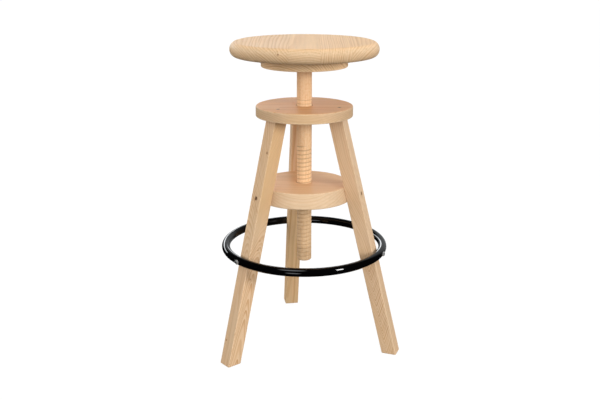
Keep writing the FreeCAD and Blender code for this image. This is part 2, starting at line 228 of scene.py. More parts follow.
def pine(name, origin, ex, ey, ez, seed, pith, tilt, spacing, early, late,
         contrast=0.8, wave=(10.0, 2.5), wave_len=(90.0, 360.0), knots=(), edge=None,
         end_dark=0.30, rough=0.50, hue=0.5, glue=None, bend=None, calm=None, top=None,
         cone=None, shade=None, skew=None, sway=None, zone_tint=None):
    """Pine as a solid texture: growth rings about a pith line, fibres along the
    grain, resin dashes, knots, sanded edges with a painted highlight. Faces turned up (top) and the shade multiplier
    paint light and shade; a zone tint recolours given zones. The local frame's z is the grain."""
    g = Graph(name)
    p = g.local([v * 0.001 for v in origin], ex, ey, ez)
    x, y, z = g.split(p)
    rnd = np.random.RandomState(seed)
    shift = tuple(float(v) for v in rnd.uniform(-400, 400, 3))
    q = g.vec("ADD", p, shift)

    # growth rings
    broad = g.noise(g.vec("MULTIPLY", q, (1 / wave_len[0], 1 / wave_len[0], 1 / wave_len[1])), 1.5, 0.5)
    fine = g.noise(g.vec("MULTIPLY", q, (1 / 24.0, 1 / 24.0, 1 / 120.0)), 2.0, 0.55)
    cx = g.sub(x, g.math("MULTIPLY_ADD", z, tilt[0], pith[0]))
    cy = g.sub(y, g.math("MULTIPLY_ADD", z, tilt[1], pith[1]))
    if bend is not None:
        bow = g.step(z, bend[2], bend[3])
        cx = g.math("MULTIPLY_ADD", bow, -bend[0], cx)
        cy = g.math("MULTIPLY_ADD", bow, -bend[1], cy)
    if skew is not None:
        cx = g.math("MAXIMUM", cx, g.mul(cx, -skew))
    d = g.math("SQRT", g.add(g.mul(cx, cx), g.mul(cy, cy)))
    if cone is not None:
        d = g.add(d, cone(g, x, y, z))
    broad = g.mul(g.sub(broad, 0.5), 2 * wave[0])
    d = g.add(d, broad if sway is None else g.mul(broad, sway(g, x, y, z)))
    d = g.math("MULTIPLY_ADD", g.sub(fine, 0.5), 2 * wave[1], d)

    # knots push the rings aside and show as brown discs with their own rings
    knot_mask = None
    for i, k in enumerate(knots):
        rel = g.vec("SUBTRACT", p, tuple(k["at"]))
        axis = unit(k["axis"])
        along = g.vec("DOT_PRODUCT", rel, tuple(axis))
        off = g.vec("SUBTRACT", rel, g.scaled(tuple(axis), along))
        off = g.vec("MULTIPLY", off, (1.0, 1.0, k.get("squeeze", 0.75)))
        rho = g.vec("LENGTH", off)
        rho = g.math("MULTIPLY_ADD", g.sub(fine, 0.5), 0.8 * k["r"], rho)
        swell = g.math("EXPONENT", g.mul(g.mul(rho, rho), -1.0 / (2.2 * k["r"]) ** 2))
        d = g.math("MULTIPLY_ADD", swell, k.get("push", 1.6) * k["r"], d)
        body = g.step(rho, 1.08 * k["r"], 0.80 * k["r"])
        m = g.mul(body, k.get("dark", 0.8))
        knot_mask = m if knot_mask is None else g.math("MAXIMUM", knot_mask, m)
        knot_rho = rho

    u = g.mul(d, 1.0 / spacing)
    u = g.math("MULTIPLY_ADD", g.noise1(g.add(u, seed * 3.7), 1.0, 0.31), 1.3, u)
    f = g.math("FRACT", u)
    ring_no = g.math("FLOOR", u)
    late_w = g.mul(g.step(f, 0.30, 0.92), g.step(f, 1.0, 0.95))
    late_w = g.mul(late_w, g.span(g.dice(ring_no), 0, 1, 0.45, 1.0))
    if calm is not None:
        late_w = g.mul(late_w, calm(g, x, y, z))

    # fibres, resin dashes, slow colour drift
    fibre = g.noise(g.vec("MULTIPLY", q, (1 / 0.8, 1 / 0.8, 1 / 38.0)), 3.0, 0.6)
    streak = g.noise(g.vec("MULTIPLY", q, (1 / 5.5, 1 / 5.5, 1 / 210.0)), 2.0, 0.5)
    dash = g.noise(g.vec("MULTIPLY", q, (1 / 0.75, 1 / 0.75, 1 / 11.0)), 1.0, 0.5)
    drift = g.noise(g.vec("MULTIPLY", q, (1 / 75.0, 1 / 75.0, 1 / 230.0)), 2.0, 0.5)
    warm = g.noise(g.vec("MULTIPLY", q, (1 / 38.0, 1 / 38.0, 1 / 110.0)), 1.5, 0.5)

    col = g.mix(g.mul(late_w, contrast), early, late)
    col = g.mix(g.step(drift, 0.35, 0.70, 0.0, 0.16 * hue), col, rgb(222, 156, 118), "MIX")
    col = g.mix(g.step(warm, 0.40, 0.72, 0.0, 0.14 * hue), col, rgb(228, 190, 128), "MIX")
    tone = g.math("MULTIPLY_ADD", g.sub(fibre, 0.5), 0.16, 1.0)
    tone = g.math("MULTIPLY_ADD", g.sub(streak, 0.5), 0.20, tone)
    dash_m = g.mul(g.step(dash, 0.70, 0.78), 0.16)
    tone = g.sub(tone, dash_m)

    # end grain drinks more finish and shows darker
    n_along = g.math("ABSOLUTE", g.vec("DOT_PRODUCT", g.tex.outputs["Normal"], tuple(ez)))
    end = g.step(n_along, 0.35, 0.98)
    pores = g.noise(g.vec("MULTIPLY", q, (1 / 0.55, 1 / 0.55, 1 / 3.0)), 2.0, 0.6)
    tone = g.mul(tone, g.math("MULTIPLY_ADD", end, -end_dark * 0.42, 1.0))
    tone = g.math("MULTIPLY_ADD", g.mul(g.sub(pores, 0.5), end), 0.22, tone)
    col = g.mix(g.mul(end, g.mul(late_w, 0.45 * contrast)), col, late)

    # Painted light: faces turned up get their own tint, set to the light the tops receive rather than to the wood.
    if top is not None:
        nx, ny, nz = g.split(g.tex.outputs["Normal"])
        col = g.mix(g.step(nz, 0.45, 0.97), col, g.mix(1.0, col, tuple(top) + (1.0,), "MULTIPLY"))

    # Zone tint: the colour is multiplied in given zones; on the left and right legs this is painted shade high up.
    if zone_tint is not None:
        where, tint = zone_tint
        col = g.mix(where(g, x, y, z), col, g.mix(1.0, col, tuple(tint) + (1.0,), "MULTIPLY"))

    if knot_mask is not None:
        rings_k = g.math("MULTIPLY_ADD", g.math("SINE", g.mul(knot_rho, 4.2)), 0.12, 0.88)
        col = g.mix(g.mul(knot_mask, rings_k), col, rgb(134, 86, 44))

    if glue is not None:
        line = None
        for gx in glue:
            m = g.step(g.math("ABSOLUTE", g.sub(x, gx)), 0.42, 0.12)
            line = m if line is None else g.math("MAXIMUM", line, m)
        tone = g.math("MULTIPLY_ADD", line, -0.10, tone)

    # Painted light and shade, given per piece as a multiplier.
    if shade is not None:
        tone = g.mul(tone, shade(g, x, y, z))

    wear = edge(g, x, y, z) if edge else None
    nicks = g.noise(g.vec("MULTIPLY", q, (1 / 3.2, 1 / 3.2, 1 / 5.0)), 2.0, 0.6)
    if wear is not None:
        # Partly wear, partly painted highlight: the edges are mixed towards a pale colour.
        rubbed_and_highlight = g.mul(wear, g.step(nicks, 0.30, 0.62))
        col = g.mix(g.mul(rubbed_and_highlight, 0.30), col, rgb(243, 219, 184))
        grime = g.mul(wear, g.step(nicks, 0.66, 0.76))
        tone = g.math("MULTIPLY_ADD", grime, -0.16, tone)

    col = g.mix(1.0, col, g.join(tone, tone, tone), "MULTIPLY")
    g.set("Base Color", col)

    r = g.math("MULTIPLY_ADD", g.sub(fibre, 0.5), 0.14, rough)
    r = g.math("MULTIPLY_ADD", late_w, -0.06, r)
    r = g.math("MULTIPLY_ADD", end, 0.10, r)
    r = g.math("MULTIPLY_ADD", g.sub(drift, 0.5), 0.10, r)
    if wear is not None:
        r = g.math("MULTIPLY_ADD", wear, -0.05, r)
    g.set("Roughness", r)
    g.set("Specular IOR Level", 0.14)

    h = g.math("MULTIPLY_ADD", late_w, 0.55, g.mul(fibre, 0.55))
    h = g.math("MULTIPLY_ADD", dash_m, -2.5, h)
    h = g.math("MULTIPLY_ADD", g.mul(pores, end), 0.5, h)
    if wear is not None:
        h = g.math("MULTIPLY_ADD", g.mul(wear, g.step(nicks, 0.60, 0.74)), -1.2, h)
    g.set("Normal", g.bump(h, 0.28, 0.00025))
    return g.mat


def edge_leg(g, x, y, z):
    m = g.math("MINIMUM", g.math("ABSOLUTE", x), g.math("ABSOLUTE", y))
    return g.step(m, 14.6, 17.1)


def edge_disc(radius, z0, z1, taper=0.0):
    """Wear and a painted highlight along the two rim edges of a disc about the
    stool's axis. The radius is that at half height, and shrinks upwards by the taper."""
    def build(g, x, y, z):
        wx, wy, wz = g.split(g.scaled(g.tex.outputs["Object"], 1000.0))
        rr = g.math("SQRT", g.add(g.mul(wx, wx), g.mul(wy, wy)))
        if taper:
            rr = g.math("MULTIPLY_ADD", g.sub(wz, (z0 + z1) / 2), taper, rr)
        a = g.step(rr, radius - 5.0, radius - 1.0)
        b = g.step(g.math("ABSOLUTE", g.sub(wz, (z0 + z1) / 2)), (z1 - z0) / 2 - 4.5, (z1 - z0) / 2 - 0.8)
        return g.mul(a, b)
    return build


def edge_thread(g, x, y, z):
    wx, wy, wz = g.split(g.scaled(g.tex.outputs["Object"], 1000.0))
    rr = g.math("SQRT", g.add(g.mul(wx, wx), g.mul(wy, wy)))
    return g.step(rr, 16.0, 17.95)


def shade_thread(g, x, y, z):
    """Dirt and painted shade sit dark in the groove, darkest at its upper end, and
    painted shade lies in the turning marks of the plain shank. Painted light makes the wood palest at half height,
    where the guide disc shades it."""
    rr = g.math("SQRT", g.add(g.mul(x, x), g.mul(y, y)))
    groove_dirt_and_shade = g.mul(g.step(rr, 17.75, 16.95), g.step(z, 219.0, 220.0))
    groove_dirt_and_shade = g.mul(groove_dirt_and_shade, g.add(g.step(z, 370.0, 425.0, 0.10, 0.26), g.step(z, 497.0, 502.0, 0.0, 0.20)))
    # Painted shade in the turning marks.
    mark = g.mul(g.step(rr, 17.86, 17.50, 0.0, 0.28), g.step(z, 512.0, 516.0))
    # Painted light: brighter between the discs, darker above and below.
    drift = g.mul(g.step(z, 370.0, 430.0, 0.935, 1.07), g.step(z, 575.0, 640.0, 1.0, 0.92))
    return g.mul(drift, g.sub(1.0, g.mul(g.math("MAXIMUM", groove_dirt_and_shade, mark), g.step(z, 694.0, 696.0, 1.0, 0.0))))


def edge_seat(g, x, y, z):
    wx, wy, wz = g.split(g.scaled(g.tex.outputs["Object"], 1000.0))
    rr = g.math("SQRT", g.add(g.mul(wx, wx), g.mul(wy, wy)))
    return g.mul(g.step(rr, 158.0, 174.0), g.step(wz, 738.0, 748.0))


# ------------------------------------------------------------------ wood finishes
EARLY_LEFT, LATE_LEFT = rgb(215, 184, 148), rgb(184, 137, 90)
EARLY_RIGHT, LATE_RIGHT = rgb(215, 186, 152), rgb(177, 132, 85)
EARLY_BACK, LATE_BACK = rgb(224, 193, 158), rgb(190, 140, 92)
EARLY_GUIDE, LATE_GUIDE = rgb(210, 180, 143), rgb(182, 135, 89)
EARLY_NUT, LATE_NUT = rgb(218, 188, 153), rgb(190, 143, 96)
# Painted light: the plate's pine is set lighter than the rest to offset the shade under the seat.
EARLY_PLATE, LATE_PLATE = rgb(245, 209, 163), rgb(204, 149, 96)
EARLY_SPIN, LATE_SPIN = rgb(225, 186, 142), rgb(191, 135, 81)
EARLY_SEAT, LATE_SEAT = rgb(218, 187, 149), rgb(187, 139, 90)


def leg_axes(azimuth):
    a = math.radians(azimuth)
    c, s = math.cos(SPLAY), math.sin(SPLAY)
    return rot_z((c, 0, s), a), rot_z((0, 1, 0), a), rot_z((-s, 0, c), a)


def leg_origin(azimuth):
    return rot_z((LEG_FOOT_R, 0, 0), math.radians(azimuth))


def calm_left(g, x, y, z):
    """The face beside the outer one is lively low down and quiet towards the top;
    the outer face is the other way round."""
    beside = g.math("MULTIPLY_ADD", g.step(y, 15.0, 17.3), g.step(z, 250.0, 345.0, 0.05, -0.62), 1.0)
    return g.mul(beside, g.math("MULTIPLY_ADD", g.mul(g.step(x, 15.0, 17.0), g.step(y, 17.0, 15.0)),
                                g.step(z, 300.0, 380.0, -0.45, 0.0), 1.0))


def sway_left(g, x, y, z):
    """Straight grain on the outer face, wavy on the one beside it."""
    return g.step(y, 14.6, 16.6, 0.18, 1.0)


def calm_right(g, x, y, z):
    """The outer face is quiet, and all faces are towards the top."""
    return g.mul(g.step(x, 15.0, 17.3, 1.0, 0.55), g.step(z, 220.0, 310.0, 1.0, 0.42))


def calm_disc(g, x, y, z):
    """A disc's rim and underside are quieter than its upper face."""
    return g.step(y, 8.8, 11.8, 0.58, 1.0)


def shade_left(g, x, y, z):
    """Painted light: the face beside the outer one is paler low down, and all faces are darker towards the foot."""
    return g.math("MULTIPLY_ADD", g.step(y, 15.0, 17.3), g.step(z, 190.0, 300.0, 0.185, -0.01), g.step(z, 60.0, 330.0, 0.92, 1.0))


def cone_left(g, x, y, z):
    return g.mul(g.mul(g.math("MINIMUM", z, 300.0), 0.12), g.step(y, 14.6, 16.6))


def cone_right(g, x, y, z):
    """Pointed arches, upside down, on the lower part of the front face."""
    return g.mul(g.mul(g.math("MINIMUM", z, 262.0), -0.56), g.step(y, -15.4, -16.9))


def warm_shade_left(g, x, y, z):
    """Painted shade: the face beside the outer one is darker and warmer high up, where the guide disc shades it and
    bounced light is warm.
    """
    return g.mul(g.step(y, 15.0, 17.3), g.step(z, 320.0, 420.0))


def warm_shade_right(g, x, y, z):
    # Painted shade: the front face is darker and warmer high up, where the guide disc shades it.
    return g.mul(g.step(y, -15.0, -17.3), g.step(z, 300.0, 420.0))


def foot_tint_back(g, x, y, z):
    """Darker and warmer towards the foot."""
    return g.step(z, 390.0, 290.0)


LEG_WOOD = {
    "leg_left": dict(
        seed=11, pith=(-4.0, 9.0), tilt=(0.0, 0.0), spacing=3.8, early=EARLY_LEFT, late=LATE_LEFT,
        contrast=0.88, wave=(10.0, 2.8), wave_len=(90.0, 150.0), bend=(-72.0, -89.0, 230.0, 620.0), cone=cone_left,
        calm=calm_left, shade=shade_left, sway=sway_left, zone_tint=(warm_shade_left, (0.965, 0.915, 0.805)),
        knots=[dict(at=(17.5, 9.4, 519.5), axis=(1, 0.2, 0.25), r=2.6),
               dict(at=(17.5, -9.9, 55.9), axis=(1, -0.2, 0.3), r=2.2),
               dict(at=(-4.5, 17.5, 311.0), axis=(0.1, 1, 0.3), r=1.5, dark=0.62, push=0.8),
               dict(at=(-4.0, 17.5, 288.0), axis=(0.1, 1, 0.3), r=1.6, dark=0.62, push=0.8),
               dict(at=(2.0, 17.5, 216.0), axis=(0.1, 1, 0.3), r=1.9, dark=0.55)]),
    "leg_right": dict(
        seed=23, pith=(-4.0, -16.7), tilt=(0.012, 0.0), spacing=4.4, early=EARLY_RIGHT, late=LATE_RIGHT,
        contrast=1.15, wave=(3.5, 1.6), wave_len=(60.0, 170.0), bend=(-46.0, 16.0, 250.0, 520.0), cone=cone_right,
        skew=2.0, calm=calm_right, zone_tint=(warm_shade_right, (0.990, 0.950, 0.905)),
        knots=[dict(at=(-6.0, -17.5, 235.0), axis=(0.2, -1, 0.3), r=1.8, dark=0.35)]),
    "leg_back": dict(
        seed=37, pith=(70.0, 30.0), tilt=(-0.035, 0.030), spacing=4.8, early=EARLY_BACK, late=LATE_BACK,
        contrast=0.62, wave=(8.0, 2.4), wave_len=(80.0, 240.0), zone_tint=(foot_tint_back, (0.940, 0.890, 0.760)),
        knots=[dict(at=(-17.5, 4.0, 330.0), axis=(-1, 0.1, 0.3), r=2.4, dark=0.5)]),
}
leg_mats = {}
for name, wood in LEG_WOOD.items():
    ex, ey, ez = leg_axes(LEG_AZIMUTHS[name])
    leg_mats[name] = pine("pine_" + name, leg_origin(LEG_AZIMUTHS[name]), ex, ey, ez,
                          edge=edge_leg, rough=0.52, **wood)

cam_right = rot_z((1, 0, 0), VIEW_TURN)
cam_back = rot_z((0, 1, 0), VIEW_TURN)
UP = Vector((0, 0, 1))
# The top tints of both discs are painted light on their upper faces.
mat_guide = pine("pine_guide_disc", (0, 0, 593.0), cam_back, UP, cam_right, 41, (-30.0, -180.0), (0.02, 0.01), 5.0,
                 EARLY_GUIDE, LATE_GUIDE, contrast=0.72, wave=(11.0, 2.4), edge=edge_disc(116, 581, 605), rough=0.50,
                 calm=calm_disc, hue=1.0, top=(1.168, 0.945, 0.730))
mat_nut = pine("pine_nut_disc", (0, 0, 397.0), cam_back, UP, cam_right, 53, (35.0, -260.0), (-0.02, 0.012), 5.2,
               EARLY_NUT, LATE_NUT, contrast=0.30, wave=(9.0, 2.0), edge=edge_disc(112.4, 379.0, 415.5, 0.25363), rough=0.50,
               top=(1.080, 0.924, 0.784))

seat_x = rot_z((1, 0, 0), SEAT_TURN)
seat_z = rot_z((0, 1, 0), SEAT_TURN)
DOWN = Vector((0, 0, -1))
mat_plate = pine("pine_seat_plate", (0, 0, 710.0), seat_x, DOWN, seat_z, 67, (-60.0, 120.0), (0.03, 0.03), 4.6,
                 EARLY_PLATE, LATE_PLATE, contrast=0.70, wave=(12.0, 2.4), edge=edge_disc(102.5, 697.5, 722.5), rough=0.52)
mat_spindle = pine("pine_spindle", (0, 0, 0), Vector((1, 0, 0)), Vector((0, 1, 0)), UP, 71, (-34.0, -60.0), (0.015, 0.010), 5.2,
                   EARLY_SPIN, LATE_SPIN, contrast=0.34, wave=(5.0, 1.6), edge=edge_thread, rough=0.46,
                   shade=shade_thread)

stave_mats = []
# Painted light: a tint for each stave's up-facing side.
STAVE_TOP_LIGHT = ((1.10, 1.05, 0.975), (1.10, 1.05, 0.975), (1.13, 1.075, 0.99), (1.19, 1.145, 1.085), (1.19, 1.145, 1.085))
for i, (seed, pith, tilt, spacing, contrast, knots, glue) in enumerate((
        (83, (-205.0, 92.0), (0.010, 0.012), 4.6, 0.78, [], (-105.0,)),
        (89, (-160.0, 104.0), (0.012, 0.008), 5.0, 0.78,
         [dict(at=(-56.6, -5.0, -164.0), axis=(-0.25, -0.35, -1), r=2.4, squeeze=1.0, dark=0.9)], (-105.0, -35.0)),
        (97, (6.0, 120.0), (0.016, 0.010), 5.4, 0.50, [], (-35.0, 35.0)),
        (101, (270.0, 30.0), (0.010, 0.006), 4.4, 0.72, [], (35.0, 105.0)),
        (107, (215.0, 96.0), (0.008, 0.012), 4.8, 0.70, [], (105.0,)))):
    stave_mats.append(pine("pine_stave_%d" % (i + 1), (0, 0, 739.0), seat_x, DOWN, seat_z, seed, pith, tilt, spacing,
                           EARLY_SEAT, LATE_SEAT, contrast=contrast, wave=(5.0, 1.2), wave_len=(80.0, 420.0),
                           knots=knots, edge=edge_seat, end_dark=0.18, rough=0.50, hue=0.3, glue=glue,
                           top=STAVE_TOP_LIGHT[i]))


# ------------------------------------------------------------------ metal finishes
def enamel():
    """Gloss black stoved enamel: faint orange peel, hairline scuffs on the top,
    duller on the inner side near the back leg."""
    g = Graph("black_enamel")
    o = g.scaled(g.tex.outputs["Object"], 1000.0)
    wx, wy, wz = g.split(o)
    peel = g.noise(o, 2.0, 0.5, 0.45)
    dust = g.noise(o, 3.0, 0.65, 1.9)
    top = g.step(wz, 258.5, 264.0)
    ang = g.math("ARCTAN2", wy, wx)
    scuff = g.noise(g.join(g.mul(ang, 9.0), g.mul(wz, 2.6), 3.0), 3.0, 0.65)
    scuff = g.mul(g.step(scuff, 0.60, 0.72), top)
    col = g.mix(g.mul(g.step(dust, 0.55, 0.8), 0.25), (0.0010, 0.0010, 0.0012, 1), (0.0030, 0.0030, 0.0033, 1))
    col = g.mix(g.mul(scuff, 0.25), col, (0.024, 0.023, 0.022, 1))
    g.set("Base Color", col)
    r = g.math("MULTIPLY_ADD", g.sub(dust, 0.5), 0.04, 0.05)
    r = g.math("MULTIPLY_ADD", scuff, 0.14, r)
    inner = g.step(g.math("SQRT", g.add(g.mul(wx, wx), g.mul(wy, wy))), 197.0, 193.0)
    dull = g.mul(g.mul(inner, g.step(ang, 1.65, 1.75)), g.step(wy, 60.0, 110.0))
    g.set("Roughness", g.math("MULTIPLY_ADD", dull, 0.25, r))
    g.set("Specular IOR Level", g.math("MULTIPLY_ADD", dull, -0.36, 0.5))
    g.set("Normal", g.bump(g.math("MULTIPLY_ADD", scuff, -0.15, peel), 0.05, 0.0004))
    return g.mat


def screw_steel(name, base, deep, rough, metal, socket_shade=None):
    """Screw metal: brushed, with worn high spots, and painted shade where a socket recess would be dark."""
    g = Graph(name)
    o = g.scaled(g.tex.outputs["Object"], 1000.0)
    grain = g.noise(g.vec("MULTIPLY", o, (2.2, 2.2, 0.6)), 3.0, 0.6)
    spots = g.noise(o, 3.0, 0.6, 0.8)
    col = g.mix(g.step(spots, 0.38, 0.66), base, deep)
    col = g.mix(g.mul(g.step(grain, 0.58, 0.75), 0.35), col, tuple(min(1.0, c * 1.5) for c in base[:3]) + (1.0,))
    if socket_shade is not None:
        # Painted shade at the middle of the head.
        col = g.mix(socket_shade(g, o), col, (0.012, 0.011, 0.010, 1))
    g.set("Base Color", col)
    g.set("Metallic", metal)
    g.set("Roughness", g.math("MULTIPLY_ADD", g.sub(spots, 0.5), 0.20, rough))
    g.set("Normal", g.bump(grain, 0.12, 0.0001))
    return g.mat


def ring_socket_shade(g, o):
    """Painted shade: a dark disc at the middle of each of the three heads on the ring."""
    wx, wy, wz = g.split(o)
    dz = g.sub(wz, 255.0)
    mask = None
    for azimuth in LEG_AZIMUTHS.values():
        c, si = math.cos(math.radians(azimuth)), math.sin(math.radians(azimuth))
        out = g.add(g.mul(wx, c), g.mul(wy, si))
        aside = g.sub(g.mul(wy, c), g.mul(wx, si))
        near = g.math("SQRT", g.add(g.mul(aside, aside), g.mul(dz, dz)))
        m = g.mul(g.step(near, 3.1, 2.0), g.step(out, 205.0, 206.0))
        mask = m if mask is None else g.math("MAXIMUM", mask, m)
    return mask


mat_ring = enamel()
mat_dark = screw_steel("browned_steel", (0.33, 0.18, 0.09, 1), (0.15, 0.080, 0.042, 1), 0.42, 0.30)
mat_bright = screw_steel("zinc_steel", (0.80, 0.80, 0.79, 1), (0.58, 0.58, 0.58, 1), 0.26, 0.70, ring_socket_shade)


# ------------------------------------------------------------------ mesh helpers
def piece(name, verts, faces, mat, body, replaces, sharp=32.0):
    me = bpy.data.meshes.new(name)
    me.from_pydata([tuple(float(c) * 0.001 for c in v) for v in verts], [], [tuple(f) for f in faces])
    me.validate()
    me.update()
    ob = bpy.data.objects.new(name, me)
    scene.collection.objects.link(ob)
    finish_mesh(ob, mat, sharp)
    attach(ob, body)
    if replaces:
        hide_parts(*replaces)
    return ob


def finish_mesh(ob, mat, sharp):
    me = ob.data
    me.shade_smooth()
    me.set_sharp_from_angle(angle=math.radians(sharp))
    me.materials.clear()
    me.materials.append(mat)


def lathe(profile, n):
    """Vertices and faces of a closed solid of revolution about Z. The profile
    runs from the axis at the bottom to the axis at the top."""
    verts, faces, rows = [], [], []
    for r, z in profile:
        if r < 1e-9:
            rows.append([len(verts)] * n)
            verts.append((0, 0, z))
        else:
            rows.append(list(range(len(verts), len(verts) + n)))
            verts += [(r * math.cos(2 * math.pi * j / n), r * math.sin(2 * math.pi * j / n), z) for j in range(n)]
    for a, b in zip(rows[:-1], rows[1:]):
        for j in range(n):
            k = (j + 1) % n
            f = []
            for v in (a[j], a[k], b[k], b[j]):
                if v not in f:
                    f.append(v)
            if len(f) >= 3:
                faces.append(f)
    return verts, faces


def placed(verts, origin, ez, ex=None):
    """Points modelled along +Z, put at origin along ez."""
    ez = unit(ez)
    if ex is None:
        ex = Vector((0, 0, 1)).cross(ez)
        if ex.length < 1e-6:
            ex = Vector((1, 0, 0))
    ex = unit(ex)
    ey = ez.cross(ex)
    o = Vector(origin)
    return [o + ex * v[0] + ey * v[1] + ez * v[2] for v in verts]


def cut(ob, verts, faces):
    """Take a closed mesh out of an object, for good."""
    me = bpy.data.meshes.new("cutter")
    me.from_pydata([tuple(float(c) * 0.001 for c in v) for v in verts], [], [tuple(f) for f in faces])
    me.update()
    cutter = bpy.data.objects.new("cutter", me)
    scene.collection.objects.link(cutter)
    mod = ob.modifiers.new("cut", "BOOLEAN")
    mod.operation = "DIFFERENCE"
    mod.solver = "EXACT"
    mod.object = cutter
    bpy.context.view_layer.update()
    dg = bpy.context.evaluated_depsgraph_get()
    new = bpy.data.meshes.new_from_object(ob.evaluated_get(dg))
    ob.modifiers.clear()
    old = ob.data
    new.name = old.name + "_cut"
    ob.data = new
    bpy.data.meshes.remove(old)
    bpy.data.objects.remove(cutter)
    bpy.data.meshes.remove(me)


# ------------------------------------------------------------------ legs
def smooth_track(rnd, n, step):
    """A slowly varying random curve of n values between -1 and 1."""
    m = n // step + 4
    knots = rnd.uniform(-1, 1, m)
    t = np.linspace(0, m - 2.001, n)
    i = t.astype(int)
    f = t - i
    f = f * f * (3 - 2 * f)
    return knots[i] * (1 - f) + knots[i + 1] * f


def leg_section(radii, inset=0.0):
    """Outline of the square section, with a radius for each corner."""
    h = LEG_SIDE / 2 - inset
    pts = []
    for q in range(4):
        r = max(0.25, radii[q] - 0.4 * inset)
        a0 = q * math.pi / 2
        c = Vector((math.cos(a0 + math.pi / 4), math.sin(a0 + math.pi / 4))) * math.sqrt(2) * (h - r)
        for k in range(7):
            a = a0 + k / 6 * math.pi / 2
            pts.append((c.x + r * math.cos(a), c.y + r * math.sin(a)))
        # along the flat to the next corner
        d = Vector((math.cos(a0 + math.pi / 2), math.sin(a0 + math.pi / 2)))
        t = Vector((-d.y, d.x))
        r2 = max(0.25, radii[(q + 1) % 4] - 0.4 * inset)
        s0, s1 = -(h - r), (h - r2)
        for f in (0.03, 0.10, 0.30, 0.5, 0.70, 0.90, 0.97):
            s = s0 + (s1 - s0) * f
            pts.append((d.x * h + t.x * s, d.y * h + t.y * s))
    return pts


def make_leg(name, azimuth, seed):
    rnd = np.random.RandomState(seed)
    heights = [0.0, 0.25, 0.7, 1.4, 3.0] + list(np.linspace(8.0, LEG_TOP - 4.0, 92)) + [LEG_TOP - 0.6, LEG_TOP]
    insets = [0.6, 0.3, 0.1, 0.0, 0.0] + [0.0] * 92 + [0.0, 0.4]
    n = len(heights)
    radii = np.stack([LEG_ARRIS + 0.35 * smooth_track(rnd, n, 9) for _ in range(4)], 1)
    a = math.radians(azimuth)
    ca, sa = math.cos(SPLAY), math.sin(SPLAY)
    verts, faces = [], []
    m = None
    for i, (h, ins) in enumerate(zip(heights, insets)):
        sec = leg_section(radii[i], ins)
        m = len(sec)
        for x, y in sec:
            s = (h - x * sa) / ca
            w = Vector((LEG_FOOT_R + x * ca - s * sa, y, h))
            verts.append(rot_z(w, a))
    for i in range(n - 1):
        for j in range(m):
            k = (j + 1) % m
            faces.append((i * m + j, i * m + k, (i + 1) * m + k, (i + 1) * m + j))
    for base, flip in ((0, True), ((n - 1) * m, False)):
        loop = list(range(base, base + m))
        c = sum((Vector(verts[v]) for v in loop), Vector()) / m
        inner = []
        for v in loop:
            inner.append(len(verts))
            verts.append(Vector(verts[v]).lerp(c, 0.25))
        mid = len(verts)
        verts.append(c)
        for j in range(m):
            k = (j + 1) % m
            f = [loop[j], inner[j], inner[k], loop[k]] if not flip else [loop[k], inner[k], inner[j], loop[j]]
            faces.append(f[::-1])
            f = [inner[j], mid, inner[k]] if not flip else [inner[k], mid, inner[j]]
            faces.append(f[::-1])
    ob = piece(name + "_shaped", verts, faces, leg_mats[name], "frame", (name,))
    ex, ey, ez = leg_axes(azimuth)
    face = leg_origin(azimuth) + ex * (LEG_SIDE / 2) + ez * LEG_SCREW_S
    v, f = lathe([(0, -3.0), (4.95, -3.0), (4.95, 0.0), (4.8, 0.12), (4.8, 1.75), (2.8, 3.75), (2.8, 40.0), (0, 40.0)], 40)
    cut(ob, placed(v, face, -ex), f)
    v, f = lathe([(0, -12.0), (2.45, -12.0), (2.45, 45.4), (0, 45.4)], 24)
    out = rot_z((1, 0, 0), a)
    cut(ob, placed(v, out * RING_OUT + Vector((0, 0, 255.0)), -out), f)
    finish_mesh(ob, leg_mats[name], 32.0)
    return ob


for i, (name, azimuth) in enumerate(LEG_AZIMUTHS.items()):
    make_leg(name, azimuth, 5 + i)


# ------------------------------------------------------------------ spindle
TURNING_MARKS = ((619.3, 0.50), (610.2, 0.50), (668.5, 0.16))


def eased(v, a, b):
    t = min(1.0, max(0.0, (v - a) / (b - a)))
    return t * t * (3 - 2 * t)


def thread_radius(w, z):
    """Radius at a distance w from the groove's middle, edges eased. The groove
    runs out over its last part turn, and the shank above is plain."""
    total = 0.0
    for k in range(-3, 4):
        d = abs(w + 0.13 * k)
        t = min(1.0, max(0.0, (1.55 - d) / 1.15))
        total += GROOVE_DEPTH * t
    r = SPINDLE_R - total / 7 * eased(z - w, THREAD_TOP, THREAD_TOP - 3.5)
    for mark, deep in TURNING_MARKS:
        r -= deep * (1 - eased(abs(z - mark), 0.2, 1.5))
    return r


